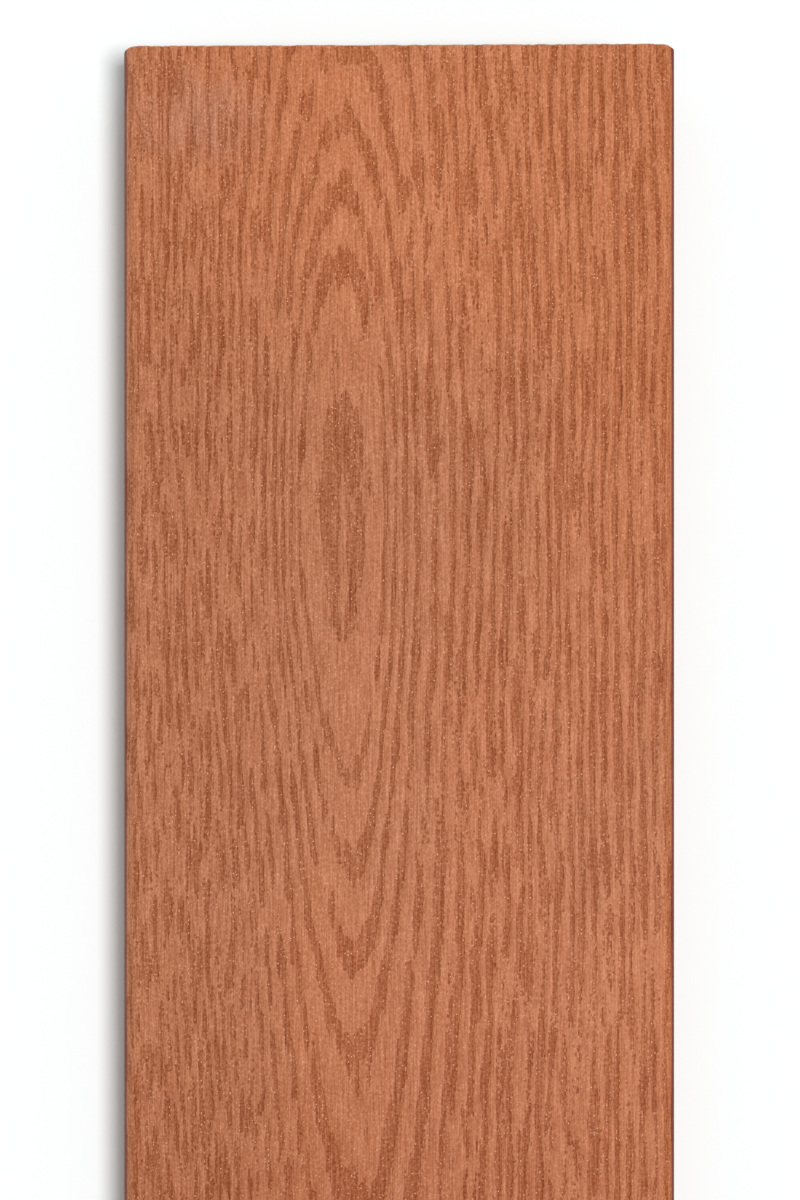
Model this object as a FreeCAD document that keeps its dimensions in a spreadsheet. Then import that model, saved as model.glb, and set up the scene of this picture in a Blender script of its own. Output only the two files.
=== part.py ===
"""Solid composite decking board: one extruded piece with rounded long edges and square sawn ends.

The board lies flat with its walking face up. X runs across it, Y runs along it and Z points up.
The origin is the centre of the underside. Every size is in millimetres.
"""

import FreeCAD
import Part
import enum
import math
import os
import Sketcher

NODE = "decking_board"
PARTS_FOLDER = "parts"
SHEET = "Dimensions"

# Each driving dimension: its name in the sheet, its value and what it measures.
DIMENSIONS = [
    ("board_length", 2438.4, "sawn end to sawn end, a stock length of 8 ft"),
    ("board_width", 139.7, "long edge to long edge, 5 1/2 in"),
    ("board_thickness", 25.4, "underside to walking face, 1 in"),
    ("walking_edge_radius", 4.8, "rounding of both long edges of the walking face, 3/16 in"),
    ("underside_edge_radius", 3.2, "rounding of both long edges of the underside, 1/8 in"),
]

# How near two lengths in mm have to be to count as the same, and two volumes as a share.
TOLERANCE = 1e-4

# The sketch's origin, as a constraint names it: the start of its horizontal axis.
ORIGIN_POINT = (-1, 1)


class LinePoint(enum.IntEnum):
    """The two ends of a sketched line, as a constraint numbers them."""

    START = 1
    END = 2


def make_sheet(doc):
    """Write the driving dimensions to a spreadsheet, one named cell each."""
    sheet = doc.addObject("Spreadsheet::Sheet", SHEET)
    for row, (name, value, meaning) in enumerate(DIMENSIONS, start=1):
        sheet.set(f"A{row}", meaning)
        sheet.set(f"B{row}", str(value))
        sheet.setAlias(f"B{row}", name)
    doc.recompute()
    return sheet


def origin_plane(body, role):
    """Return one of the body's own origin planes."""
    return next(plane for plane in body.Origin.OriginFeatures if plane.Role == role)


def add_section_sketch(body, sheet):
    """Draw the board's section: a rectangle that stands on the origin, centred across it."""
    sketch = body.newObject("Sketcher::SketchObject", "board_section")
    sketch.AttachmentSupport = [(origin_plane(body, "XZ_Plane"), "")]
    sketch.MapMode = "FlatFace"

    half_width = sheet.board_width / 2
    thickness = sheet.board_thickness
    corners = [
        FreeCAD.Vector(-half_width, 0, 0),
        FreeCAD.Vector(half_width, 0, 0),
        FreeCAD.Vector(half_width, thickness, 0),
        FreeCAD.Vector(-half_width, thickness, 0),
    ]
    next_corners = corners[1:] + corners[:1]
    underside, right_side, walking_side, left_side = [
        sketch.addGeometry(Part.LineSegment(corner, next_corner))
        for corner, next_corner in zip(corners, next_corners)
    ]

    start, end = LinePoint.START, LinePoint.END
    sides = [underside, right_side, walking_side, left_side]
    for side, next_side in zip(sides, sides[1:] + sides[:1]):
        sketch.addConstraint(Sketcher.Constraint("Coincident", side, end, next_side, start))
    for level_side in (underside, walking_side):
        sketch.addConstraint(Sketcher.Constraint("Horizontal", level_side))
    for upright_side in (right_side, left_side):
        sketch.addConstraint(Sketcher.Constraint("Vertical", upright_side))
    sketch.addConstraint(Sketcher.Constraint("Symmetric", underside, start, underside, end, *ORIGIN_POINT))

    width = sketch.addConstraint(Sketcher.Constraint("Distance", underside, sheet.board_width))
    height = sketch.addConstraint(Sketcher.Constraint("Distance", right_side, thickness))
    sketch.renameConstraint(width, "width")
    sketch.renameConstraint(height, "height")
    sketch.setExpression("Constraints.width", f"{SHEET}.board_width")
    sketch.setExpression("Constraints.height", f"{SHEET}.board_thickness")
    return sketch


def add_stock(body, sketch):
    """Extrude the section to the stock length, half of it each way."""
    stock = body.newObject("PartDesign::Pad", "extruded_stock")
    stock.Profile = sketch
    stock.SideType = "Symmetric"
    stock.setExpression("Length", f"{SHEET}.board_length")
    return stock


def long_edges_at(shape, height):
    """Name the edges that run along the board at one height."""
    return [
        f"Edge{number}"
        for number, edge in enumerate(shape.Edges, start=1)
        if all(abs(vertex.Z - height) < TOLERANCE for vertex in edge.Vertexes)
        and abs(edge.BoundBox.YLength - shape.BoundBox.YLength) < TOLERANCE
    ]


def add_rounding(body, base, name, height, radius_name):
    """Round both long edges that lie at one height."""
    rounding = body.newObject("PartDesign::Fillet", name)
    rounding.Base = (base, long_edges_at(base.Shape, height))
    rounding.setExpression("Radius", f"{SHEET}.{radius_name}")
    return rounding


def make_board(doc, sheet):
    """Build the board as one body, from its section to its rounded edges."""
    body = doc.addObject("PartDesign::Body", NODE)
    body.Label = NODE
    body.Placement = FreeCAD.Placement()

    sketch = add_section_sketch(body, sheet)
    stock = add_stock(body, sketch)
    doc.recompute()
    walking_edges = add_rounding(
        body, stock, "walking_edges", sheet.board_thickness, "walking_edge_radius"
    )
    doc.recompute()
    add_rounding(body, walking_edges, "underside_edges", 0, "underside_edge_radius")
    doc.recompute()
    return body


def rounded_section_area(sheet):
    """Work out the section's area from the sizes: a rectangle less what its four corners lose."""
    unit_corner_loss = 1 - math.pi / 4
    radii_squared = sheet.walking_edge_radius**2 + sheet.underside_edge_radius**2
    return sheet.board_width * sheet.board_thickness - 2 * unit_corner_loss * radii_squared


def check(doc, body, sheet):
    """Stop if anything in the document failed, or if the board isn't the solid that the sizes ask for."""
    for item in doc.Objects:
        if "Invalid" in item.State or "Error" in item.State:
            raise RuntimeError(f"{item.Name} failed: {item.State}")
    if body.Shape.isNull() or not body.Shape.isValid():
        raise RuntimeError(f"{body.Label} isn't a valid shape")
    if len(body.Shape.Solids) != 1:
        raise RuntimeError(f"{body.Label} has {len(body.Shape.Solids)} solids")
    expected = rounded_section_area(sheet) * sheet.board_length
    if abs(body.Shape.Volume - expected) > expected * TOLERANCE:
        raise RuntimeError(f"{body.Label} has volume {body.Shape.Volume}, not {expected}")


def main():
    """Model the board and write it to its file."""
    doc = FreeCAD.newDocument("DeckingBoard")
    sheet = make_sheet(doc)
    board = make_board(doc, sheet)
    check(doc, board, sheet)
    os.makedirs(PARTS_FOLDER, exist_ok=True)
    board.Shape.exportStep(f"{PARTS_FOLDER}/{board.Label}.step")
    print(f"{board.Label}: {board.Shape.Volume / 1000:.1f} cm3, {len(board.Shape.Faces)} faces")


main()
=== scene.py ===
"""A solid composite decking board that lies on a white floor, with its embossed walking face up.

The board keeps the box of the solid that it dresses. Its walking face is a fine mesh with the pressed oak
grain as real relief, and its finish draws the same grain from the same formula. Lengths are in metres where
they place something in the scene, and in millimetres inside the patterns.
"""

import functools
import logging
import math
import operator
from collections.abc import Callable, Iterable
from dataclasses import astuple, dataclass
from enum import Enum, IntEnum

import bmesh
import bpy
from mathutils import Matrix, Vector


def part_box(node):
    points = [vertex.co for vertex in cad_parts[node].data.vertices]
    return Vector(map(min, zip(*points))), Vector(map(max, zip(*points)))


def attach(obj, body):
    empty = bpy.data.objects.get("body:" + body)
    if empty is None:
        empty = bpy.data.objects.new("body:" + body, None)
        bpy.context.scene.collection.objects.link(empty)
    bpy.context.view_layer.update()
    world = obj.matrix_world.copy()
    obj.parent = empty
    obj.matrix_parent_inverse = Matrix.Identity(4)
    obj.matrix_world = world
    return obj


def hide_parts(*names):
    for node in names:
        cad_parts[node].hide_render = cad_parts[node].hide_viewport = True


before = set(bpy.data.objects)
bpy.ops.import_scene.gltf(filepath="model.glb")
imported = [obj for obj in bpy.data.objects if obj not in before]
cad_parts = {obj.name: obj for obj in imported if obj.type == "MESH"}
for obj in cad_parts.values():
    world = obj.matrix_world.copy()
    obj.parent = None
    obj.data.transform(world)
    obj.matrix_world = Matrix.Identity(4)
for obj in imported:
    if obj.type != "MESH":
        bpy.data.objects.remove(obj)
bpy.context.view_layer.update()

LOG = logging.getLogger("decking_board")
MM = 0.001
NEAR = MM / 10
BODY = "root"
NODE = "decking_board"

# The power by which a displayed level becomes an amount of light.
DISPLAY_GAMMA = 2.2

# A soft step: the value at which it is 0, and the value at which it is 1.
Span = tuple[float, float]

Rgba = tuple[float, float, float, float]
Tree = bpy.types.NodeTree
Socket = bpy.types.NodeSocket


class Region(Enum):
    """The parts of the board's surface, numbered as its material slots."""

    WALKING_FACE = 0
    UNDERSIDE = 1
    SAWN_END = 2
    RIM = 3


class Axis(IntEnum):
    """The board's three directions, as a vector numbers them."""

    ACROSS = 0
    ALONG = 1
    UP = 2


class MixKind(Enum):
    """What a Mix node blends: its data type, then its two inputs and its output by number."""

    NUMBERS = ("FLOAT", 2, 3, 0)
    COLOURS = ("RGBA", 6, 7, 2)


class Blend(Enum):
    """How one colour is laid over another."""

    COVER = "MIX"
    MULTIPLY = "MULTIPLY"


@dataclass(frozen=True)
class Colour:
    """A colour as a screen shows it, each channel from 0 to 255."""

    red: float
    green: float
    blue: float

    @property
    def linear(self) -> Rgba:
        """The colour as a shader takes it."""
        return (*(self._to_linear(channel / 255) for channel in (self.red, self.green, self.blue)), 1.0)

    @staticmethod
    def _to_linear(level: float) -> float:
        """Undo the screen's standard curve for one channel."""
        return level / 12.92 if level <= 0.04045 else ((level + 0.055) / 1.055) ** 2.4


@dataclass(frozen=True)
class Tint:
    """A share of each channel, by which a colour is multiplied."""

    red: float
    green: float
    blue: float

    @property
    def linear(self) -> Rgba:
        """The shares as a shader takes them."""
        return (self.red, self.green, self.blue, 1.0)


@dataclass(frozen=True)
class Signal:
    """One value that varies over the surface: an output of a node, with arithmetic."""

    tree: Tree
    socket: Socket

    def __add__(self, other: "Signal | float") -> "Signal":
        """Add a value."""
        return compute(self.tree, "ADD", self, other)

    def __sub__(self, other: "Signal | float") -> "Signal":
        """Take a value away."""
        return compute(self.tree, "SUBTRACT", self, other)

    def __rsub__(self, other: float) -> "Signal":
        """Take this value away from a number."""
        return compute(self.tree, "SUBTRACT", other, self)

    def __mul__(self, other: "Signal | float") -> "Signal":
        """Multiply by a value."""
        return compute(self.tree, "MULTIPLY", self, other)

    def __truediv__(self, other: "Signal | float") -> "Signal":
        """Divide by a value."""
        return compute(self.tree, "DIVIDE", self, other)

    def __rtruediv__(self, other: float) -> "Signal":
        """Divide a number by this value."""
        return compute(self.tree, "DIVIDE", other, self)

    def __pow__(self, other: "Signal | float") -> "Signal":
        """Raise to a power."""
        return compute(self.tree, "POWER", self, other)

    def __abs__(self) -> "Signal":
        """Drop the sign."""
        return compute(self.tree, "ABSOLUTE", self)

    def rise(self, low: float, high: float) -> "Signal":
        """Turn the value into a soft step.

        Args:
            low: Where the result is 0.
            high: Where it is 1. It may be the lower of the two.

        Returns:
            A value from 0 to 1.
        """
        node = self.tree.nodes.new("ShaderNodeMapRange")
        node.interpolation_type = "SMOOTHSTEP"
        feed(self.tree, node.inputs["Value"], self)
        node.inputs["From Min"].default_value = low
        node.inputs["From Max"].default_value = high
        return Signal(self.tree, node.outputs["Result"])

    def between(self, low: "Signal | float", high: "Signal | float") -> "Signal":
        """Blend from one value to another, with this one as the share of the second."""
        return mix(self.tree, MixKind.NUMBERS, self, low, high)


def feed(tree: Tree, socket: Socket, value: Signal | Colour | Tint | float) -> None:
    """Give a node's input its value.

    Args:
        tree: The tree that holds the node.
        socket: The input.
        value: What it gets. A signal is linked, and a number or a colour is written.
    """
    if isinstance(value, Signal):
        tree.links.new(value.socket, socket)
    elif isinstance(value, Colour | Tint):
        socket.default_value = value.linear
    else:
        socket.default_value = value


def compute(tree: Tree, operation: str, *values: Signal | float) -> Signal:
    """Put values through a math node.

    Args:
        tree: The tree to work in.
        operation: The node's operation.
        *values: The values of its inputs, in order.

    Returns:
        The node's result.
    """
    node = tree.nodes.new("ShaderNodeMath")
    node.operation = operation
    for socket, value in zip(node.inputs, values):
        feed(tree, socket, value)
    return Signal(tree, node.outputs[0])


def mix(
    tree: Tree,
    kind: MixKind,
    share: Signal | float,
    under: Signal | Colour | Tint | float,
    over: Signal | Colour | Tint | float,
    how: Blend = Blend.COVER,
) -> Signal:
    """Blend two values.

    Args:
        tree: The tree to work in.
        kind: Whether they are numbers or colours.
        share: How much of the second value shows, from 0 to 1.
        under: The first value.
        over: The second value.
        how: How the second colour is laid over the first.

    Returns:
        The blended value.
    """
    data_type, first, second, result = kind.value
    node = tree.nodes.new("ShaderNodeMix")
    node.data_type = data_type
    node.blend_type = how.value
    for number, value in ((0, share), (first, under), (second, over)):
        feed(tree, node.inputs[number], value)
    return Signal(tree, node.outputs[result])


def total(signals: Iterable[Signal]) -> Signal:
    """Add signals up."""
    return functools.reduce(operator.add, signals)


def shift_levels(colour: Signal, amount: Signal) -> Signal:
    """Move a colour's three displayed levels by the same amount.

    Args:
        colour: The colour.
        amount: The move, as a share of the range from black to white.

    Returns:
        The lighter or darker colour.
    """
    tree = colour.tree
    split = tree.nodes.new("ShaderNodeSeparateXYZ")
    join = tree.nodes.new("ShaderNodeCombineXYZ")
    feed(tree, split.inputs[0], colour)
    for channel, socket in zip(split.outputs, join.inputs):
        shown = Signal(tree, channel) ** (1.0 / DISPLAY_GAMMA)
        feed(tree, socket, (shown + amount) ** DISPLAY_GAMMA)
    return Signal(tree, join.outputs[0])


@dataclass(frozen=True)
class Place:
    """A point of the board in millimetres: across it, along it and up."""

    across: Signal
    along: Signal
    up: Signal

    NOISE_MEAN = 0.5
    NOISE_SPREAD = 3.2
    NOISE_ROUGHNESS = 0.55
    SPECK_CORE = 0.4

    @classmethod
    def read(cls, tree: Tree, position: Socket) -> "Place":
        """Split a position in metres.

        Args:
            tree: The tree to work in.
            position: The socket that gives the position.

        Returns:
            The place in millimetres.
        """
        node = tree.nodes.new("ShaderNodeSeparateXYZ")
        tree.links.new(position, node.inputs[0])
        return cls(*(Signal(tree, socket) / MM for socket in node.outputs))

    @property
    def tree(self) -> Tree:
        """The tree that the place is worked out in."""
        return self.across.tree

    def scaled(self, across: float, along: float, up: float, seed: float) -> Signal:
        """Measure the place in grains of one size.

        Args:
            across: The grain's size across the board, in millimetres.
            along: Its size along the board.
            up: Its size upwards.
            seed: Moves the pattern, so that two of one size differ.

        Returns:
            The scaled place, as one vector.
        """
        node = self.tree.nodes.new("ShaderNodeCombineXYZ")
        sides = ((self.across, across), (self.along, along), (self.up, up))
        for socket, (side, size) in zip(node.inputs, sides):
            feed(self.tree, socket, side / size + seed)
        return Signal(self.tree, node.outputs[0])

    def noise(self, layer: "Layer") -> Signal:
        """Draw soft noise.

        Args:
            layer: The noise's sizes, its seed and its detail.

        Returns:
            Noise about 0, mostly within 1 either way.
        """
        node = self.tree.nodes.new("ShaderNodeTexNoise")
        node.noise_dimensions = "3D" if layer.up else "2D"
        scaled = self.scaled(layer.across, layer.along, layer.up or 1.0, layer.seed)
        feed(self.tree, node.inputs["Vector"], scaled)
        node.inputs["Scale"].default_value = 1.0
        node.inputs["Detail"].default_value = layer.detail
        node.inputs["Roughness"].default_value = self.NOISE_ROUGHNESS
        return (Signal(self.tree, node.outputs[0]) - self.NOISE_MEAN) * self.NOISE_SPREAD

    def specks(self, across: float, along: float, seed: float, radius: float, kept: float) -> Signal:
        """Scatter round specks.

        Args:
            across: The size of a cell that may hold one, across the board, in millimetres.
            along: The cell's size along the board.
            seed: Moves the pattern.
            radius: The speck's radius, as a share of its cell.
            kept: The share of the cells that hold one.

        Returns:
            1 in a speck and 0 between them.
        """
        node = self.tree.nodes.new("ShaderNodeTexVoronoi")
        node.voronoi_dimensions = "2D"
        feed(self.tree, node.inputs["Vector"], self.scaled(across, along, 1.0, seed))
        node.inputs["Scale"].default_value = 1.0
        pick = self.tree.nodes.new("ShaderNodeSeparateXYZ")
        self.tree.links.new(node.outputs["Color"], pick.inputs[0])
        chosen = Signal(self.tree, pick.outputs[0])
        near = Signal(self.tree, node.outputs["Distance"]).rise(radius, radius * self.SPECK_CORE)
        return near * chosen.rise(1 - kept, 1.0)


@dataclass(frozen=True)
class Layer:
    """One layer of soft noise: the size of its grains in millimetres, its seed and its weight.

    With no size upwards it doesn't change with height. Detail counts its finer layers, and a cut turns the
    noise into a soft step.
    """

    across: float
    along: float
    seed: float
    weight: float = 1.0
    up: float = 0.0
    detail: float = 0.0
    cut: Span | None = None

    def draw(self, place: Place) -> Signal:
        """Draw the layer at its weight.

        Args:
            place: The place on the board.

        Returns:
            The noise, or its soft step, times the weight.
        """
        noise = place.noise(self)
        if self.cut:
            noise = noise.rise(*self.cut)
        return noise * self.weight


@dataclass(frozen=True)
class Zone:
    """A weight that sets in over a soft step: where it is none, where it is whole, and how much it is."""

    none: float
    whole: float
    weight: float

    def draw(self, measure: Signal) -> Signal:
        """Give the weight that a measure has reached."""
        return measure.rise(self.none, self.whole) * self.weight


def make_group(
    name: str, outputs: tuple[str, ...], draw: Callable[[Place], tuple[Signal, ...]]
) -> Tree:
    """Build a shader node group that draws a pattern from the position.

    Args:
        name: The group's name.
        outputs: The names of its outputs, each a number.
        draw: Draws the pattern, and gives one signal for each output.

    Returns:
        The group.
    """
    tree = bpy.data.node_groups.new(name, "ShaderNodeTree")
    tree.interface.new_socket("Position", in_out="INPUT", socket_type="NodeSocketVector")
    for label in outputs:
        tree.interface.new_socket(label, in_out="OUTPUT", socket_type="NodeSocketFloat")
    entry = tree.nodes.new("NodeGroupInput")
    leave = tree.nodes.new("NodeGroupOutput")
    for socket, signal in zip(leave.inputs, draw(Place.read(tree, entry.outputs[0]))):
        tree.links.new(signal.socket, socket)
    return tree


@dataclass(frozen=True)
class Figure:
    """The eye of one cathedral figure, in millimetres, and how much longer than the first it is drawn."""

    across: float
    from_end: float
    stretch: float


@dataclass(frozen=True)
class Flare:
    """How far out the rings reach with the distance from an eye, and how square they are there.

    The reach grows by a slope, past a shoulder that is full at a little over its length. A power of 2
    makes a ring an ellipse.
    """

    slope: float
    shoulder: float
    shoulder_length: float
    power: float

    def turn_into(self, other: "Flare", share: Signal) -> tuple[Signal, ...]:
        """Give the four values as they change to another flare's."""
        return tuple(share.between(own, its) for own, its in zip(astuple(self), astuple(other)))


@dataclass(frozen=True)
class RingStep:
    """The distance between the rings outside one radius."""

    outside: float
    spacing: float


@dataclass(frozen=True)
class Breaker:
    """A layer of noise that breaks the bands up, and its weight over the board.

    The weight has a level in the middle, a change per millimetre across, and a change in calm places.
    """

    noise: Layer
    level: float
    per_mm: float = 0.0
    calm: float = 0.0

    def draw(self, place: Place, calm: Signal) -> Signal:
        """Draw the layer at its weight in each place. Calm is 1 in calm grain and 0 elsewhere."""
        weight = place.across * self.per_mm + calm * self.calm + self.level
        return self.noise.draw(place) * weight


@dataclass(frozen=True)
class Rings:
    """Where a place lies among the rings.

    It holds the offset from the line of the eyes, the ring's radius, its number, which is whole in the
    middle of each band, the share by which the place belongs to a figure's own rings, and 1 past the
    first eye.
    """

    offset: Signal
    radius: Signal
    number: Signal
    figured: Signal
    past_eye: Signal


@dataclass(frozen=True)
class OakGrain:
    """The pressed pattern: rings nested round a row of cathedral figures, broken into short dashes.

    A ring's radius is its distance from the line of the eyes, at the level of an eye. Sizes are in
    millimetres. A pair named for the eye holds the value before the first eye and the value past it.
    """

    shown_end: float

    # The row of figures, the line through their eyes, and how far the rings reach round them.
    figures: tuple[Figure, ...] = (
        Figure(across=-14.2, from_end=116.0, stretch=1.0),
        Figure(across=4.0, from_end=770.0, stretch=1.2),
        Figure(across=-6.0, from_end=1390.0, stretch=0.95),
        Figure(across=24.0, from_end=2020.0, stretch=1.1),
    )
    figure_aside: Span = (34, 14)
    towards_end: Flare = Flare(slope=0.147, shoulder=2.0, shoulder_length=24.0, power=2.3)
    away: Flare = Flare(slope=0.110, shoulder=3.5, shoulder_length=38.0, power=1.8)
    eye_half: float = 4.0
    least_reach: float = 0.01
    bend_from_end: Span = (130.0, 215.0)
    bend: float = 1.2
    left_from: float = 12.0
    left_crowding: float = 0.38

    # The spacing of the rings, and how they sway.
    first_ring: float = 10.8
    ring_steps: tuple[RingStep, ...] = (
        RingStep(outside=0.0, spacing=2.65),
        RingStep(outside=18.7, spacing=4.1),
        RingStep(outside=38.9, spacing=3.0),
    )
    sway: tuple[Layer, ...] = (Layer(16, 60, 3.1, 0.75), Layer(5, 24, 7.7, 0.375))
    drift: tuple[Layer, ...] = (Layer(8, 80, 11.3, 0.22), Layer(2.5, 45, 13.1, 0.12))
    figure_steadiness: float = 0.6

    # The dark heart of each figure, and the pale streak in the first one.
    core_radius: float = 5.8
    core_edge: Span = (0.5, -0.6)
    core_shift: float = 24.0
    core_strength: float = 0.95
    core_surround: float = -0.46
    streak_width: float = 0.9
    streak_edge: Span = (1.3, 0.5)
    streak_paleness: float = 0.85
    streak_ragged: Layer = Layer(3, 14, 43.7, 0.5)

    # Where the bands start, and the places in which they change.
    first_band: Span = (0.25, 0.6)
    calm_by_eye: tuple[float, float] = (0.5, 1.0)
    end_zone: Span = (42, 12)
    tip_aside: Span = (0.8, 0.2)
    fade: Layer = Layer(10, 60, 15.2)

    # How far the pattern swings between a band and the flat beside it.
    swing: float = 0.38
    swing_fade: float = 0.22
    swing_per_mm: float = 1 / 420
    swing_figure: float = 0.24
    swing_tip: float = 0.20

    # How wide the bands are.
    spread_fade: float = 0.12
    spread_middle: float = 20.0
    spread_per_mm: float = 0.0006
    spread_figure_by_eye: tuple[float, float] = (-0.06, -0.13)
    spread_tip_by_eye: tuple[float, float] = (0.15, -0.08)
    spread_tip_at_end: float = -0.55

    # The noise that breaks the bands up, and how sharp their edges are.
    streaks: Breaker = Breaker(Layer(1.5, 13, 19.4, detail=0.5), level=0.62, per_mm=-0.0036, calm=-0.20)
    gaps: Breaker = Breaker(Layer(3.2, 24, 17.3), level=0.27, per_mm=0.0030, calm=-0.12)
    dashes: Breaker = Breaker(Layer(0.8, 4.5, 23.9, detail=1.0), level=0.31, calm=-0.12)
    crumbs: Breaker = Breaker(Layer(0.75, 1.1, 27.7), level=0.25, calm=-0.10)
    breaks: Layer = Layer(4.2, 11, 21.7)
    breaks_by_eye: tuple[float, float] = (0.32, 0.0)
    strength_shift: float = -0.04
    crisp_edge: Span = (0.03, 0.17)
    soft_edge: Span = (-0.20, 0.45)

    def _axis(self, from_end: Signal) -> Signal:
        """Follow the line of the eyes.

        Args:
            from_end: The distance from the shown end.

        Returns:
            The line's distance across the board.
        """
        axis = from_end.rise(*self.bend_from_end) * self.bend + self.figures[0].across
        for figure, next_figure in zip(self.figures, self.figures[1:]):
            step = next_figure.across - figure.across
            axis = from_end.rise(figure.from_end, next_figure.from_end) * step + axis
        return axis

    def _number(self, radius: Signal) -> Signal:
        """Count the rings out to a radius. Outside each step they lie at another distance.

        Args:
            radius: The radius.

        Returns:
            The number, with a fraction between two rings.
        """
        number = (radius - self.first_ring) / self.ring_steps[0].spacing + 1.0
        for step, wider in zip(self.ring_steps, self.ring_steps[1:]):
            beyond = compute(radius.tree, "MAXIMUM", radius - wider.outside, 0.0)
            number = beyond * (1 / wider.spacing - 1 / step.spacing) + number
        return number

    def _rings(self, place: Place) -> Rings:
        """Work out the ring that a place lies in.

        Args:
            place: The place on the board.

        Returns:
            The place among the rings.
        """
        tree = place.tree
        from_end = self.shown_end - place.along
        offset = place.across - self._axis(from_end)
        figured = abs(offset).rise(*self.figure_aside)
        loose = 1.0 - figured * self.figure_steadiness
        offset = offset + total(layer.draw(place) for layer in self.sway) * loose
        left = compute(tree, "MAXIMUM", offset * -1.0 - self.left_from, 0.0)
        aside = abs(offset) + left * self.left_crowding

        lengths = [abs(from_end - figure.from_end) / figure.stretch for figure in self.figures]
        nearest = functools.reduce(lambda first, second: compute(tree, "MINIMUM", first, second), lengths)
        first_eye = self.figures[0].from_end
        past_eye = from_end.rise(first_eye - self.eye_half, first_eye + self.eye_half)
        slope, shoulder, shoulder_length, power = self.towards_end.turn_into(self.away, past_eye)
        share = nearest / shoulder_length
        rounding = 1.0 - compute(tree, "EXPONENT", share * share * -1.0)
        reach = nearest * slope + shoulder * rounding + self.least_reach
        radius = (aside**power + reach**power) ** (1.0 / power)
        number = self._number(radius) + total(layer.draw(place) for layer in self.drift) * loose
        return Rings(offset, radius, number, figured, past_eye)

    def _core(self, place: Place, rings: Rings) -> Signal:
        """Draw the heart of a figure: a long dark lens, parted by a pale streak in its lower half.

        Args:
            place: The place on the board.
            rings: The place among the rings.

        Returns:
            1 in the heart, less in its streak, and 0 outside.
        """
        outer, inner = self.core_edge
        heart = rings.radius.rise(self.core_radius + outer, self.core_radius + inner)
        below = self.shown_end - place.along - self.figures[0].from_end - self.core_shift / 2
        aside = abs(rings.offset + self.streak_ragged.draw(place)) / self.streak_width
        along = below / self.core_shift
        streak = (aside * aside + along * along).rise(*self.streak_edge)
        return heart * (1.0 - streak * self.streak_paleness)

    def _bands(self, place: Place, rings: Rings) -> Signal:
        """Draw the whole bands of the rings and the heart.

        Args:
            place: The place on the board.
            rings: The place among the rings.

        Returns:
            Their strength: above 0 in a band and below 0 between bands.
        """
        across, figured, past_eye = place.across, rings.figured, rings.past_eye
        wave = compute(place.tree, "COSINE", rings.number * math.tau)
        outside_core = rings.number.rise(*self.first_band)
        fade = self.fade.draw(place)
        near_end = (self.shown_end - place.along).rise(*self.end_zone)
        tip = (abs(rings.offset) / rings.radius).rise(*self.tip_aside) * figured
        swing = fade * self.swing_fade + across * self.swing_per_mm + figured * self.swing_figure
        swing = swing + tip * self.swing_tip + self.swing
        spread = fade * self.spread_fade + figured * past_eye.between(*self.spread_figure_by_eye)
        spread = spread + (across - self.spread_middle) * self.spread_per_mm
        spread_tip = past_eye.between(*self.spread_tip_by_eye) + near_end * self.spread_tip_at_end
        spread = spread + tip * spread_tip
        strength = outside_core * (wave * swing + spread)
        heart = self._core(place, rings) * self.core_strength
        return strength + heart + (1.0 - outside_core) * self.core_surround

    def draw(self, place: Place) -> tuple[Signal, Signal]:
        """Draw the pressed bands.

        Args:
            place: The place on the board.

        Returns:
            The bands with crisp and with soft edges: 1 where the face is pressed in, 0 on the flats.
        """
        rings = self._rings(place)
        calm = rings.figured * rings.past_eye.between(*self.calm_by_eye)
        breaks = self.breaks.draw(place) * rings.figured * rings.past_eye.between(*self.breaks_by_eye)
        broken = self.streaks.draw(place, calm) + self.gaps.draw(place, calm) + breaks
        pressed = self._bands(place, rings) + broken + self.strength_shift
        fine = self.dashes.draw(place, calm) + self.crumbs.draw(place, calm)
        return (pressed + fine).rise(*self.crisp_edge), pressed.rise(*self.soft_edge)


@dataclass(frozen=True)
class CompositeGrit:
    """The material's own fine structure, in millimetres: brushed lines, grit and painted glints."""

    lines: Layer = Layer(0.45, 11.0, 31.7, up=0.45, detail=1.0)
    grit: Layer = Layer(0.46, 0.736, 37.1, up=0.46, detail=1.0)
    glint_cell: float = 0.8
    glint_stretch: float = 1.2
    glint_seed: float = 41.9
    glint_radius: float = 0.24
    glint_share: float = 0.22

    def draw(self, place: Place) -> tuple[Signal, Signal, Signal]:
        """Draw the structure.

        Args:
            place: The place on the board.

        Returns:
            The lines and the grit, each about 0, and the glints, from 0 to 1.
        """
        glints = place.specks(
            self.glint_cell,
            self.glint_cell * self.glint_stretch,
            self.glint_seed,
            self.glint_radius,
            self.glint_share,
        )
        return self.lines.draw(place), self.grit.draw(place), glints


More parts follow.
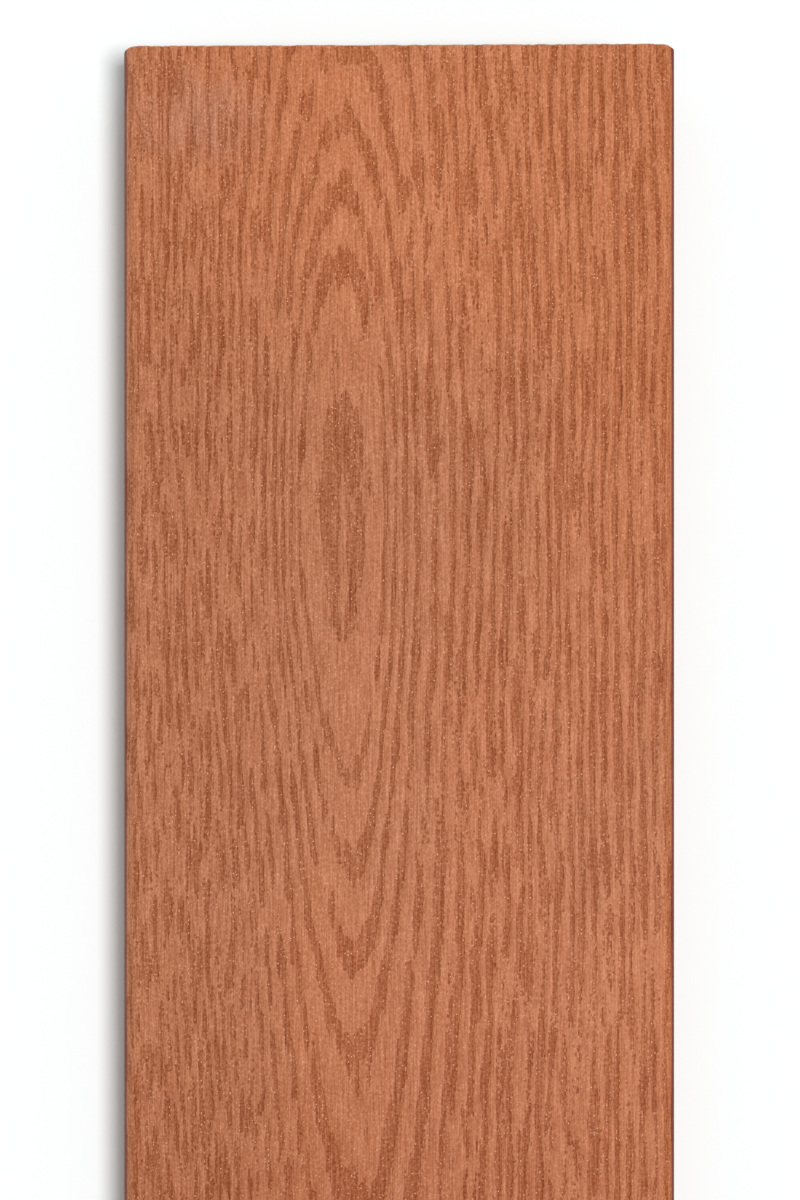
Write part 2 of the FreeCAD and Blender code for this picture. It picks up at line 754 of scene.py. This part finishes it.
class Finish:
    """A material under construction: its tree, its shader and the place that its patterns read."""

    def __init__(self, name: str) -> None:
        """Start a material.

        Args:
            name: The material's name.
        """
        self.material = bpy.data.materials.new(name)
        self.material.use_nodes = True
        self.tree = self.material.node_tree
        self.shader = self.tree.nodes["Principled BSDF"]
        coordinates = self.tree.nodes.new("ShaderNodeTexCoord")
        self.position = coordinates.outputs["Object"]
        self.place = Place.read(self.tree, self.position)

    def use(self, group: Tree) -> tuple[Signal, ...]:
        """Place a node group in the material.

        Args:
            group: The group.

        Returns:
            A signal for each of its outputs.
        """
        node = self.tree.nodes.new("ShaderNodeGroup")
        node.node_tree = group
        self.tree.links.new(self.position, node.inputs[0])
        return tuple(Signal(self.tree, socket) for socket in node.outputs)

    def blend(self, share: Signal | float, under: Signal | Colour, over: Signal | Colour) -> Signal:
        """Lay one colour over another."""
        return mix(self.tree, MixKind.COLOURS, share, under, over)

    def lighten(self, colour: Signal, change: Signal) -> Signal:
        """Multiply a colour by a level that changes about 1."""
        return mix(self.tree, MixKind.COLOURS, 1.0, colour, change + 1.0, Blend.MULTIPLY)

    def complete(
        self, colour: Signal, roughness: Signal, height: Signal, specular: float
    ) -> bpy.types.Material:
        """Join the finished signals to the shader.

        Args:
            colour: The surface's colour.
            roughness: Its roughness.
            height: Its relief in millimetres.
            specular: The strength of its reflection, the same all over.

        Returns:
            The material.
        """
        bump = self.tree.nodes.new("ShaderNodeBump")
        bump.inputs["Strength"].default_value = 1.0
        bump.inputs["Distance"].default_value = MM
        feed(self.tree, bump.inputs["Height"], height)
        feed(self.tree, self.shader.inputs["Base Color"], colour)
        feed(self.tree, self.shader.inputs["Roughness"], roughness)
        feed(self.tree, self.shader.inputs["Normal"], Signal(self.tree, bump.outputs[0]))
        self.shader.inputs["Specular IOR Level"].default_value = specular
        return self.material


@dataclass(frozen=True)
class Patterns:
    """The node groups that the finishes share."""

    grain: Tree
    grit: Tree

    @classmethod
    def build(cls, grain: OakGrain, grit: CompositeGrit) -> "Patterns":
        """Build each group once.

        Args:
            grain: The pressed pattern.
            grit: The material's fine structure.

        Returns:
            The groups.
        """
        return cls(
            grain=make_group("pressed_oak_grain", ("Crisp", "Soft"), grain.draw),
            grit=make_group("composite_grit", ("Lines", "Grit", "Glints"), grit.draw),
        )


@dataclass(frozen=True)
class Strengths:
    """How strongly the patterns of a finish show in one of its qualities, and the level without them."""

    main: float = 0.0
    second: float = 0.0
    grit: float = 0.0
    level: float = 0.0

    def draw(self, main: Signal, second: Signal, grit: Signal) -> Signal:
        """Add the finish's main pattern, its second one and the grit up."""
        return main * self.main + second * self.second + grit * self.grit + self.level


@dataclass(frozen=True)
class WalkingFaceFinish:
    """The brushed walking face, with its pressed bands, and the darker skin that the sides keep, painted
    darker at the top of each rounding as painted shade.

    Sizes are in millimetres. Shades are shares of the displayed range from black to white. The face's level
    carries painted light and shade along its two edges and a painted falloff of the light.
    """

    shown_end: float
    top: float

    # The colours.
    flat: Colour = Colour(185, 114, 76)
    band: Colour = Colour(162, 91, 53)
    # The skin is the darker unbrushed skin, and partly painted shade on the steep top of each rounding.
    skin: Colour = Colour(118, 54, 30)
    side: Colour = Colour(148, 84, 56)
    crack: Colour = Colour(112, 56, 34)
    glint: Colour = Colour(248, 200, 160)
    scuff: Colour = Colour(180, 120, 94)

    # The depths below the top at which the darker skin with its painted shade starts, the sides start and
    # the bands weaken.
    skin_and_painted_shade_from: Span = (1.4, 1.75)
    skin_and_painted_shade_ragged: float = 0.1
    side_from: Span = (3.6, 6.5)
    turned_edge: Zone = Zone(0.02, 0.5, 0.25)

    # The dull scuffed patch.
    scuff_across: float = -50.0
    scuff_from_end: float = 19.0
    scuff_half_width: float = 18.0
    scuff_half_length: float = 12.0
    scuff_ragged: Layer = Layer(4, 10, 53.3, 0.35, detail=2.0)
    scuff_cover: Zone = Zone(1.25, 0.2, 0.6)
    scuff_skips_bands: float = 0.5

    # The fine cracks, and the areas that have them.
    crack_lines: Layer = Layer(0.3, 8, 59.2, 0.55, cut=(0.8, 1.05))
    crack_areas: Layer = Layer(8, 30, 61.8, cut=(0.1, 0.5))

    # The slow change of hue.
    warm: Tint = Tint(1.045, 1.0, 0.96)
    cool: Tint = Tint(0.95, 0.995, 1.09)
    warm_level: float = 0.30
    warm_per_mm: float = 0.0075
    warm_zones: tuple[Zone, ...] = (Zone(110, 35, 0.65), Zone(190, 240, 0.3))
    warm_patches: Layer = Layer(30, 90, 65.1, 0.2)

    # The slow change of level: painted light falloff along and across the face, painted light and shade at
    # the two edges, and patches of the board's own tone.
    shade_level: float = -0.003
    # Painted light falloff: lighter towards the right, lighter near the shown end, and a darker band from
    # about 225 mm on that fades out past 330 mm.
    painted_light_per_mm: float = 0.00006
    painted_end_light: Zone = Zone(90, 35, 0.016)
    painted_falloff_shade: Zone = Zone(225, 320, -0.040)
    painted_falloff_ends: Span = (330, 520)
    far_from: Span = (320, 620)
    far_patches: Layer = Layer(110, 420, 89.3, 0.031)
    # Painted light on the left edge and painted shade on the right edge, against the light that falls from
    # the right.
    painted_edge_light_and_shade: tuple[Zone, ...] = (
        Zone(-58, -67, 0.014),
        Zone(57, 67, -0.012),
        Zone(-66.8, -68.6, 0.045),
        Zone(66.4, 68.4, -0.040),
    )
    shade_patches: Layer = Layer(60, 220, 67.4, 0.008)

    # The fine texture, the painted glints and the sheen.
    line_shade: float = 0.078
    grit_shade: float = 0.082
    texture_in_bands: float = 0.26
    ripple: Layer = Layer(0.9, 0.4, 69.7, 0.034)
    glint_share: float = 0.50
    glint_in_bands: float = 0.35
    glint_down_to: Span = (2.0, 1.0)
    roughness: Strengths = Strengths(main=0.08, grit=0.04, level=0.55)
    height: Strengths = Strengths(main=-0.10, second=0.010, grit=0.012)
    specular: float = 0.2

    def _scuff(self, place: Place) -> Signal:
        """Mask the dull scuffed patch near the shown end's left corner.

        Args:
            place: The place on the board.

        Returns:
            How much of the scuff's colour shows.
        """
        across = (place.across - self.scuff_across) / self.scuff_half_width
        along = (self.shown_end - place.along - self.scuff_from_end) / self.scuff_half_length
        distance = compute(place.tree, "SQRT", across * across + along * along)
        return self.scuff_cover.draw(distance + self.scuff_ragged.draw(place))

    def _warmth(self, place: Place, from_end: Signal) -> Signal:
        """Draw the slow change of hue over the face, as the share of the warm tint."""
        zones = total(zone.draw(from_end) for zone in self.warm_zones)
        return zones + place.across * self.warm_per_mm + self.warm_patches.draw(place) + self.warm_level

    def _shade(self, place: Place, from_end: Signal) -> Signal:
        """Draw the slow change of level over the face, with its painted light falloff and the painted light
        and shade at its edges.

        Args:
            place: The place on the board.
            from_end: The distance from the shown end.

        Returns:
            The change of the displayed level.
        """
        # Painted shade of the falloff: darker from about 225 mm from the shown end, fading back past 330
        # mm.
        dull = self.painted_falloff_shade.draw(from_end) * (1.0 - from_end.rise(*self.painted_falloff_ends))
        far = from_end.rise(*self.far_from) * self.far_patches.draw(place)
        # Painted light near the shown end and towards the right, with patches of the board's own tone
        # further on.
        broad = self.painted_end_light.draw(from_end) + dull + far + place.across * self.painted_light_per_mm
        # Painted light along the left edge and painted shade along the right one.
        edges = total(zone.draw(place.across) for zone in self.painted_edge_light_and_shade)
        return broad + edges + self.shade_patches.draw(place) + self.shade_level

    def paint(
        self, place: Place, crisp: Signal, lines: Signal, grit: Signal, glints: Signal
    ) -> tuple[Signal, Signal, Signal]:
        """Work out the face's look from its patterns.

        Args:
            place: The place on the board.
            crisp: The pressed bands.
            lines: The brushed lines.
            grit: The grit.
            glints: The painted glints.

        Returns:
            The colour, the roughness and the relief in millimetres.
        """
        blend = functools.partial(mix, place.tree, MixKind.COLOURS)
        below_top = self.top - place.up
        from_end = self.shown_end - place.along
        # The skin mask: darker unbrushed skin, and painted shade where the rounding turns down.
        skin = (below_top + lines * self.skin_and_painted_shade_ragged).rise(*self.skin_and_painted_shade_from)
        pressed = crisp * (1.0 - skin) * (1.0 - self.turned_edge.draw(below_top))
        hue = blend(self._warmth(place, from_end), self.cool, self.warm)
        colour = blend(1.0, blend(pressed, self.flat, self.band), hue, Blend.MULTIPLY)
        scuffed = self._scuff(place) * (1.0 - pressed * self.scuff_skips_bands)
        colour = blend(scuffed, colour, self.scuff)
        colour = blend(self.crack_lines.draw(place) * self.crack_areas.draw(place), colour, self.crack)
        # Lay the skin, partly painted shade, over the face, and the sides' own colour further down.
        colour = blend(skin, colour, blend(below_top.rise(*self.side_from), self.skin, self.side))

        rougher = pressed * self.texture_in_bands + 1.0
        texture = (lines * self.line_shade + grit * self.grit_shade) * rougher
        ripple = self.ripple.draw(place) * pressed
        colour = shift_levels(colour, texture + ripple + self._shade(place, from_end))
        # Painted glints: bright specks laid into the colour, stronger in the bands.
        shining = glints * (pressed * self.glint_in_bands + self.glint_share)
        colour = blend(shining * below_top.rise(*self.glint_down_to), colour, self.glint)
        return colour, self.roughness.draw(pressed, lines, grit), self.height.draw(pressed, lines, grit)

    def build(self, patterns: Patterns) -> bpy.types.Material:
        """Build the material.

        Args:
            patterns: The shared node groups.

        Returns:
            The material.
        """
        finish = Finish("brushed_composite")
        crisp, _ = finish.use(patterns.grain)
        colour, roughness, height = self.paint(finish.place, crisp, *finish.use(patterns.grit))
        return finish.complete(colour, roughness, height, self.specular)


@dataclass(frozen=True)
class UndersideFinish:
    """The plain extruded underside: smooth skin with faint die lines and a few pale rubs."""

    skin: Colour = Colour(150, 86, 60)
    rub: Colour = Colour(178, 116, 86)
    die_lines: Layer = Layer(1.6, 900, 71.6, up=1.6, detail=2.0)
    rub_patches: Layer = Layer(14, 60, 73.9, detail=2.0)
    rub_ragged: float = 0.4
    rub_edge: Span = (0.5, 1.1)
    rub_cover: float = 0.35
    shade: Strengths = Strengths(main=0.04, second=0.03, grit=0.05)
    height: Strengths = Strengths(main=0.03, grit=0.008)
    roughness: Strengths = Strengths(main=0.1, grit=0.05, level=0.5)
    specular: float = 0.25

    def build(self, patterns: Patterns) -> bpy.types.Material:
        """Build the material.

        Args:
            patterns: The shared node groups.

        Returns:
            The material.
        """
        finish = Finish("extruded_underside")
        lines, grit, _ = finish.use(patterns.grit)
        die_lines = self.die_lines.draw(finish.place)
        rubs = (self.rub_patches.draw(finish.place) + grit * self.rub_ragged).rise(*self.rub_edge)
        colour = finish.blend(rubs * self.rub_cover, self.skin, self.rub)
        colour = finish.lighten(colour, self.shade.draw(die_lines, lines, grit))
        roughness = self.roughness.draw(rubs, lines, grit)
        return finish.complete(colour, roughness, self.height.draw(die_lines, lines, grit), self.specular)


@dataclass(frozen=True)
class SawnEndFinish:
    """The sawn ends: rough, flecked with wood fibre and scored in arcs by the saw, in millimetres."""

    body: Colour = Colour(178, 112, 80)
    fleck: Colour = Colour(222, 176, 136)
    dark_fleck: Colour = Colour(118, 66, 44)
    flecks: Layer = Layer(1.0, 0.6, 79.3, detail=2.0)
    fleck_cover: Zone = Zone(0.30, 0.9, 0.7)
    dark_fleck_cover: Zone = Zone(-0.4, -0.9, 0.6)
    blade_across: float = -40.0
    blade_up: float = -104.0
    tooth_pitch: float = 1.3
    score_wander: float = 0.15
    shade: Strengths = Strengths(main=0.03, grit=0.15)
    height: Strengths = Strengths(main=0.03, second=0.05, grit=0.02)
    roughness: Strengths = Strengths(grit=0.05, level=0.75)
    specular: float = 0.2

    def build(self, patterns: Patterns) -> bpy.types.Material:
        """Build the material.

        Args:
            patterns: The shared node groups.

        Returns:
            The material.
        """
        finish = Finish("sawn_composite")
        place, tree = finish.place, finish.tree
        _, grit, _ = finish.use(patterns.grit)
        flecks = self.flecks.draw(Place(place.across, place.up, place.along))
        across, up = place.across - self.blade_across, place.up - self.blade_up
        radius = compute(tree, "SQRT", across * across + up * up)
        turn = (radius + flecks * self.score_wander) * (math.tau / self.tooth_pitch)
        scores = compute(tree, "SINE", turn)
        colour = finish.blend(self.fleck_cover.draw(flecks), self.body, self.fleck)
        colour = finish.blend(self.dark_fleck_cover.draw(flecks), colour, self.dark_fleck)
        colour = finish.lighten(colour, self.shade.draw(scores, flecks, grit))
        roughness = self.roughness.draw(scores, flecks, grit)
        return finish.complete(colour, roughness, self.height.draw(scores, flecks, grit), self.specular)


@dataclass(frozen=True)
class RimFinish:
    """The broken edge round each sawn end: torn fibre, paler than the faces that meet there, and partly a
    painted highlight where the edge catches the light.
    """

    pale: Colour = Colour(238, 200, 172)
    dark: Colour = Colour(180, 112, 80)
    patches: Layer = Layer(2.5, 2.5, 83.1, up=2.5, detail=2.0)
    patch_ragged: float = 0.5
    patch_edge: Span = (0.6, -0.6)
    roughness: float = 0.8
    grit_roughness: float = 0.05
    grit_height: float = 0.03
    specular: float = 0.2

    def build(self, patterns: Patterns) -> bpy.types.Material:
        """Build the material.

        Args:
            patterns: The shared node groups.

        Returns:
            The material.
        """
        finish = Finish("torn_rim_and_painted_highlight")
        _, grit, _ = finish.use(patterns.grit)
        patches = self.patches.draw(finish.place) + grit * self.patch_ragged
        # The pale colour is torn fibre, and partly a painted highlight along the edge.
        colour = finish.blend(patches.rise(*self.patch_edge), self.dark, self.pale)
        roughness = grit * self.grit_roughness + self.roughness
        return finish.complete(colour, roughness, grit * self.grit_height, self.specular)


@dataclass(frozen=True)
class ReliefPress:
    """Presses the soft bands of the grain into a mesh, as the embossing roller does.

    Sizes are in millimetres. The press fades out over a depth below the top.
    """

    grain: OakGrain
    top: float
    depth: float = 0.25
    fade: Span = (2.6, 1.2)

    def press(self, board: bpy.types.Object) -> None:
        """Move the walking face's points down into the bands.

        Args:
            board: The object, whose mesh is replaced by the pressed one.
        """
        tree = bpy.data.node_groups.new("press_relief", "GeometryNodeTree")
        tree.interface.new_socket("Geometry", in_out="INPUT", socket_type="NodeSocketGeometry")
        tree.interface.new_socket("Geometry", in_out="OUTPUT", socket_type="NodeSocketGeometry")
        entry = tree.nodes.new("NodeGroupInput")
        leave = tree.nodes.new("NodeGroupOutput")
        place = Place.read(tree, tree.nodes.new("GeometryNodeInputPosition").outputs[0])
        _, soft = self.grain.draw(place)
        share = (self.top - place.up).rise(*self.fade)
        offset = tree.nodes.new("ShaderNodeCombineXYZ")
        feed(tree, offset.inputs["Z"], soft * share * (-self.depth * MM))
        move = tree.nodes.new("GeometryNodeSetPosition")
        tree.links.new(entry.outputs[0], move.inputs["Geometry"])
        tree.links.new(offset.outputs[0], move.inputs["Offset"])
        tree.links.new(move.outputs[0], leave.inputs[0])

        modifier = board.modifiers.new("press_relief", "NODES")
        modifier.node_group = tree
        graph = bpy.context.evaluated_depsgraph_get()
        pressed = bpy.data.meshes.new_from_object(board.evaluated_get(graph))
        plain = board.data
        board.modifiers.clear()
        board.data = pressed
        bpy.data.meshes.remove(plain)
        bpy.data.node_groups.remove(tree)


@dataclass(frozen=True)
class MapRow:
    """A row of the board's UV map: its lowest and highest V, and the U at which it starts and ends."""

    low: float
    high: float
    start: float = 0.005
    end: float = 0.995

    def at(self, along: float, across: float) -> tuple[float, float]:
        """Place a point by its two shares of the row."""
        return (self.start + (self.end - self.start) * along, self.low + (self.high - self.low) * across)


@dataclass(frozen=True)
class BakeLayout:
    """Unrolls the board's skin onto its UV map, lengthwise along U, with most room for the walking face.

    The section is unrolled from the middle of the walking face, round each side, to the middle of the
    underside. The walking face has two rows, one for each half of its length, which overlap a little.
    """

    low: Vector
    high: Vector
    walking_radius: float
    underside_radius: float
    walking_rows: tuple[MapRow, MapRow] = (MapRow(0.6, 0.995), MapRow(0.2, 0.595))
    walking_overlap: float = 0.02
    underside_row: MapRow = MapRow(0.14, 0.195)
    left_row: MapRow = MapRow(0.10, 0.135)
    right_row: MapRow = MapRow(0.06, 0.095)
    end_rows: tuple[MapRow, MapRow] = (MapRow(0.005, 0.055, 0.005, 0.3), MapRow(0.005, 0.055, 0.32, 0.615))

    @property
    def size(self) -> Vector:
        """The box's size."""
        return self.high - self.low

    @property
    def side(self) -> float:
        """Half the unrolled width of the walking face, to where a side starts."""
        return self.high.x - self.walking_radius * (1 - math.pi / 2)

    @property
    def under(self) -> float:
        """The unrolled length from the middle of the walking face to where the underside's flat starts."""
        upright = self.size.z - self.walking_radius - self.underside_radius
        return self.side + upright + self.underside_radius * math.pi / 2

    def _unroll(self, point: Vector) -> float:
        """Measure a point's way from the middle of the walking face, round its own side.

        Args:
            point: The point on the board's skin.

        Returns:
            The length of the way.
        """
        out = abs(point.x)
        drop = self.high.z - point.z
        if drop < self.walking_radius:
            into = max(out - (self.high.x - self.walking_radius), 0.0)
            turn = math.atan2(into, self.walking_radius - drop)
            return min(out, self.high.x - self.walking_radius) + self.walking_radius * turn
        if drop < self.size.z - self.underside_radius:
            return self.side + drop - self.walking_radius
        into = max(out - (self.high.x - self.underside_radius), 0.0)
        turn = math.atan2(drop - (self.size.z - self.underside_radius), into)
        rest = max(self.high.x - self.underside_radius - out, 0.0)
        return self.under - self.underside_radius * (math.pi / 2 - turn) + rest

    def _spot(self, point: Vector, centre: Vector, at_end: bool) -> tuple[float, float]:
        """Place one corner of a face on the map.

        Args:
            point: The corner.
            centre: The middle of its face.
            at_end: Whether the face belongs to a sawn end.

        Returns:
            The corner's U and V.
        """
        second_half = centre.y < (self.high.y + self.low.y) / 2
        across_box = (point.x - self.low.x) / self.size.x
        if at_end:
            return self.end_rows[second_half].at(across_box, (point.z - self.low.z) / self.size.z)
        from_end = (self.high.y - point.y) / self.size.y
        way = self._unroll(point)
        reach = self._unroll(centre)
        if reach < self.side:
            start = 0.5 - self.walking_overlap if second_half else 0.0
            along = (from_end - start) / (0.5 + self.walking_overlap)
            signed = math.copysign(way, point.x or centre.x)
            return self.walking_rows[second_half].at(along, 0.5 + signed / self.side / 2)
        if reach < self.under:
            row = self.left_row if centre.x < 0 else self.right_row
            return row.at(from_end, (way - self.side) / (self.under - self.side))
        return self.underside_row.at(from_end, 0.5 + point.x / self.size.x)

    def unwrap(self, bm: bmesh.types.BMesh) -> None:
        """Write the UV map.

        Args:
            bm: The board's mesh.
        """
        layer = bm.loops.layers.uv.new("OFBake")
        for face in bm.faces:
            centre = face.calc_center_median()
            at_end = face.material_index in (Region.SAWN_END.value, Region.RIM.value)
            for loop in face.loops:
                loop[layer].uv = self._spot(loop.vert.co, centre, at_end)


@dataclass
class DeckBoard:
    """The board: its sizes in metres, its mesh and its finishes.

    A face belongs to an end, to a rim or to the underside where its normal leans that far towards it.
    """

    low: Vector
    high: Vector
    walking_radius: float = 4.8 * MM
    underside_radius: float = 3.2 * MM
    walking_steps: int = 9
    underside_steps: int = 5
    columns: int = 184
    rows: int = 420
    side_columns: int = 3
    underside_columns: int = 8
    close_pitch: float = 1.1 * MM
    arris: float = 0.35 * MM
    saw_skew: float = math.radians(0.24)
    skew_length: float = 60 * MM
    end_lean: float = 0.9
    rim_lean: float = 0.5
    underside_lean: float = 0.5
    smooth_below: float = math.radians(30)

    @property
    def size(self) -> Vector:
        """The box's size."""
        return self.high - self.low

    def _edges(self, bm: bmesh.types.BMesh, axis: Axis, height: float | None) -> list[bmesh.types.BMEdge]:
        """Pick the edges that run the whole way along one axis.

        Args:
            bm: The board's mesh.
            axis: The axis.
            height: The height at which they lie, or None for any.

        Returns:
            The edges.
        """
        picked = []
        for edge in bm.edges:
            start, end = (vertex.co for vertex in edge.verts)
            whole = abs(start[axis] - end[axis]) > self.size[axis] / 2
            if whole and (height is None or max(abs(start.z - height), abs(end.z - height)) < NEAR):
                picked.append(edge)
        return picked

    def _bevel(
        self, bm: bmesh.types.BMesh, edges: list[bmesh.types.BMEdge], offset: float, steps: int
    ) -> None:
        """Round or break edges.

        Args:
            bm: The board's mesh.
            edges: The edges.
            offset: How far in the rounding starts on both faces.
            steps: How many flats it has.
        """
        bmesh.ops.bevel(
            bm, geom=edges, offset=offset, offset_type="OFFSET", segments=steps, profile=0.5,
            affect="EDGES", material=-1,
        )

    def _block(self) -> bmesh.types.BMesh:
        """Start from the box, with its four long edges rounded.

        Returns:
            The mesh.
        """
        bm = bmesh.new()
        centre = Matrix.Translation((self.low + self.high) / 2)
        bmesh.ops.create_cube(bm, size=1.0, matrix=centre @ Matrix.Diagonal((*self.size, 1.0)))
        for height, radius, steps in (
            (self.high.z, self.walking_radius, self.walking_steps),
            (self.low.z, self.underside_radius, self.underside_steps),
        ):
            self._bevel(bm, self._edges(bm, Axis.ALONG, height), radius, steps)
        return bm

    def _divide(self, bm: bmesh.types.BMesh) -> None:
        """Divide the long faces along the board and across it.

        Args:
            bm: The board's mesh.
        """
        for axis, height, parts in (
            (Axis.ALONG, None, self.rows),
            (Axis.ACROSS, self.high.z, self.columns),
            (Axis.ACROSS, self.low.z, self.underside_columns),
            (Axis.UP, None, self.side_columns),
        ):
            bmesh.ops.subdivide_edges(bm, edges=self._edges(bm, axis, height), cuts=parts - 1)

    def _space_rows(self, bm: bmesh.types.BMesh) -> None:
        """Set the rows close together near the shown end and wider apart further on.

        Args:
            bm: The board's mesh.
        """
        close_length = self.close_pitch * self.rows
        for vertex in bm.verts:
            share = (self.high.y - vertex.co.y) / self.size.y
            vertex.co.y = self.high.y - close_length * share - (self.size.y - close_length) * share**2

    def _break_ends(self, bm: bmesh.types.BMesh) -> None:
        """Make each sawn end one face and break the sharp edge round it.

        Args:
            bm: The board's mesh.
        """
        bm.normal_update()
        for way in (-1, 1):
            end = [face for face in bm.faces if face.normal.y * way > self.end_lean]
            bmesh.ops.dissolve_faces(bm, faces=end)
        bm.normal_update()
        ends = [face for face in bm.faces if abs(face.normal.y) > self.end_lean]
        self._bevel(bm, [edge for face in ends for edge in face.edges], self.arris, 1)

    def _skew_end(self, bm: bmesh.types.BMesh) -> None:
        """Turn the shown end a little out of square, as it was sawn, without passing the box.

        Args:
            bm: The board's mesh.
        """
        for vertex in bm.verts:
            nearness = max(0.0, 1.0 - (self.high.y - vertex.co.y) / self.skew_length)
            vertex.co.y -= (self.high.x - vertex.co.x) * math.tan(self.saw_skew) * nearness

    def _region(self, normal: Vector) -> Region:
        """Name the region of a face.

        Args:
            normal: The face's normal.

        Returns:
            The region.
        """
        if abs(normal.y) > self.end_lean:
            return Region.SAWN_END
        if abs(normal.y) > self.rim_lean:
            return Region.RIM
        return Region.UNDERSIDE if normal.z < -self.underside_lean else Region.WALKING_FACE

    def _mark_regions(self, bm: bmesh.types.BMesh) -> None:
        """Give each face its region and its shading.

        Args:
            bm: The board's mesh.
        """
        bm.normal_update()
        for face in bm.faces:
            region = self._region(face.normal)
            face.material_index = region.value
            face.smooth = region is not Region.SAWN_END
        for edge in bm.edges:
            edge.smooth = edge.calc_face_angle() < self.smooth_below

    def build(self, grain: OakGrain, patterns: Patterns) -> bpy.types.Object:
        """Build the board.

        Args:
            grain: The pressed pattern.
            patterns: The shared node groups.

        Returns:
            The finished object.
        """
        bm = self._block()
        self._divide(bm)
        self._space_rows(bm)
        self._break_ends(bm)
        self._skew_end(bm)
        self._mark_regions(bm)
        BakeLayout(self.low, self.high, self.walking_radius, self.underside_radius).unwrap(bm)
        mesh = bpy.data.meshes.new("embossed_board")
        top = self.high.z / MM
        for finish in (
            WalkingFaceFinish(self.high.y / MM, top),
            UndersideFinish(),
            SawnEndFinish(),
            RimFinish(),
        ):
            mesh.materials.append(finish.build(patterns))
        bm.to_mesh(mesh)
        bm.free()
        board = bpy.data.objects.new("embossed_board", mesh)
        bpy.context.scene.collection.objects.link(board)
        ReliefPress(grain, top).press(board)
        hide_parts(NODE)
        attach(board, BODY)
        return board


@dataclass(frozen=True)
class Studio:
    """The floor, the lights and the camera, which looks straight down on the shown end.

    The floor lights the board as a pale grey would, and shows as a white that is a little cool, which
    makes up for the board's warm light on it.
    """

    low: Vector
    high: Vector
    floor_half: float = 9.0
    floor_gap: float = 0.1 * MM
    floor_colour: Colour = Colour(225, 225, 225)
    floor_shown: Colour = Colour(251, 255, 255)
    floor_roughness: float = 0.9
    air: Colour = Colour(255, 255, 255)
    fill: float = 0.375
    sun_strength: float = 2.41
    sun_elevation: float = math.radians(61)
    sun_from_right: float = math.radians(43)
    sun_width: float = math.radians(15)
    lens: float = 35.0
    clip_start: float = 10 * MM
    camera_height: float = 292.1 * MM
    end_above_centre: float = 139.5 * MM
    camera_across: float = 0.21 * MM

    def _seen(self, tree: Tree) -> Signal:
        """Tell the rays that show the room from those that light it.

        Args:
            tree: The tree to work in.

        Returns:
            1 for rays straight from the camera, off a gloss or through glass, and 0 for the rest.
        """
        path = tree.nodes.new("ShaderNodeLightPath")
        camera, glossy, clear = (
            Signal(tree, path.outputs[f"Is {kind} Ray"]) for kind in ("Camera", "Glossy", "Transmission")
        )
        return compute(tree, "MAXIMUM", compute(tree, "MAXIMUM", camera, glossy), clear)

    def build_floor(self) -> bpy.types.Object:
        """Build the white floor, which keeps the board's shadow.

        Returns:
            The floor.
        """
        bm = bmesh.new()
        bmesh.ops.create_grid(bm, x_segments=1, y_segments=1, size=self.floor_half)
        bmesh.ops.translate(bm, verts=bm.verts, vec=(0, 0, self.low.z - self.floor_gap))
        mesh = bpy.data.meshes.new("floor")
        bm.to_mesh(mesh)
        bm.free()
        floor = bpy.data.objects.new("floor", mesh)
        bpy.context.scene.collection.objects.link(floor)
        material = bpy.data.materials.new("white_floor")
        material.use_nodes = True
        tree = material.node_tree
        shader = tree.nodes["Principled BSDF"]
        colour = mix(tree, MixKind.COLOURS, self._seen(tree), self.floor_colour, self.floor_shown)
        feed(tree, shader.inputs["Base Color"], colour)
        shader.inputs["Roughness"].default_value = self.floor_roughness
        shader.inputs["Specular IOR Level"].default_value = 0.0
        mesh.materials.append(material)
        return floor

    def build_lights(self) -> None:
        """Light the board with one broad high lamp and an even fill."""
        lamp = bpy.data.lights.new("key", "SUN")
        lamp.energy = self.sun_strength
        lamp.angle = self.sun_width
        key = bpy.data.objects.new("key", lamp)
        level = math.cos(self.sun_elevation)
        right = level * math.cos(self.sun_from_right)
        nearer = level * math.sin(self.sun_from_right)
        towards = Vector((right, -nearer, math.sin(self.sun_elevation)))
        key.rotation_mode = "QUATERNION"
        key.rotation_quaternion = towards.to_track_quat("Z", "Y")
        bpy.context.scene.collection.objects.link(key)

        world = bpy.data.worlds.new("white_room")
        bpy.context.scene.world = world
        world.use_nodes = True
        tree = world.node_tree
        background = tree.nodes["Background"]
        background.inputs["Color"].default_value = self.air.linear
        feed(tree, background.inputs["Strength"], self._seen(tree).between(self.fill, 1.0))

    def build_camera(self) -> bpy.types.Object:
        """Hang the camera over the shown end, with that end near the top of the picture.

        Returns:
            The camera.
        """
        data = bpy.data.cameras.new("camera")
        data.lens = self.lens
        data.clip_start = self.clip_start
        camera = bpy.data.objects.new("camera", data)
        along = self.high.y - self.end_above_centre
        camera.location = (self.camera_across, along, self.high.z + self.camera_height)
        bpy.context.scene.collection.objects.link(camera)
        bpy.context.scene.camera = camera
        return camera


def write_sizes() -> None:
    """Bring the view layer up to date."""
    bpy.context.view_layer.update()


def main() -> None:
    """Build the board and the room round it."""
    logging.basicConfig(level=logging.INFO, format="%(message)s")
    scene = bpy.context.scene
    scene.view_settings.view_transform = "Standard"
    low, high = (Vector(corner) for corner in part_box(NODE))
    grain = OakGrain(shown_end=high.y / MM)
    patterns = Patterns.build(grain, CompositeGrit())
    board = DeckBoard(low, high).build(grain, patterns)
    LOG.info("%s: %d faces", board.name, len(board.data.polygons))
    studio = Studio(low, high)
    floor = studio.build_floor()
    LOG.info("%s: %.1f m across", floor.name, 2 * studio.floor_half)
    studio.build_lights()
    camera = studio.build_camera()
    LOG.info("%s: %.0f mm lens", camera.name, studio.lens)
    write_sizes()


if __name__ == "__main__":
    main()
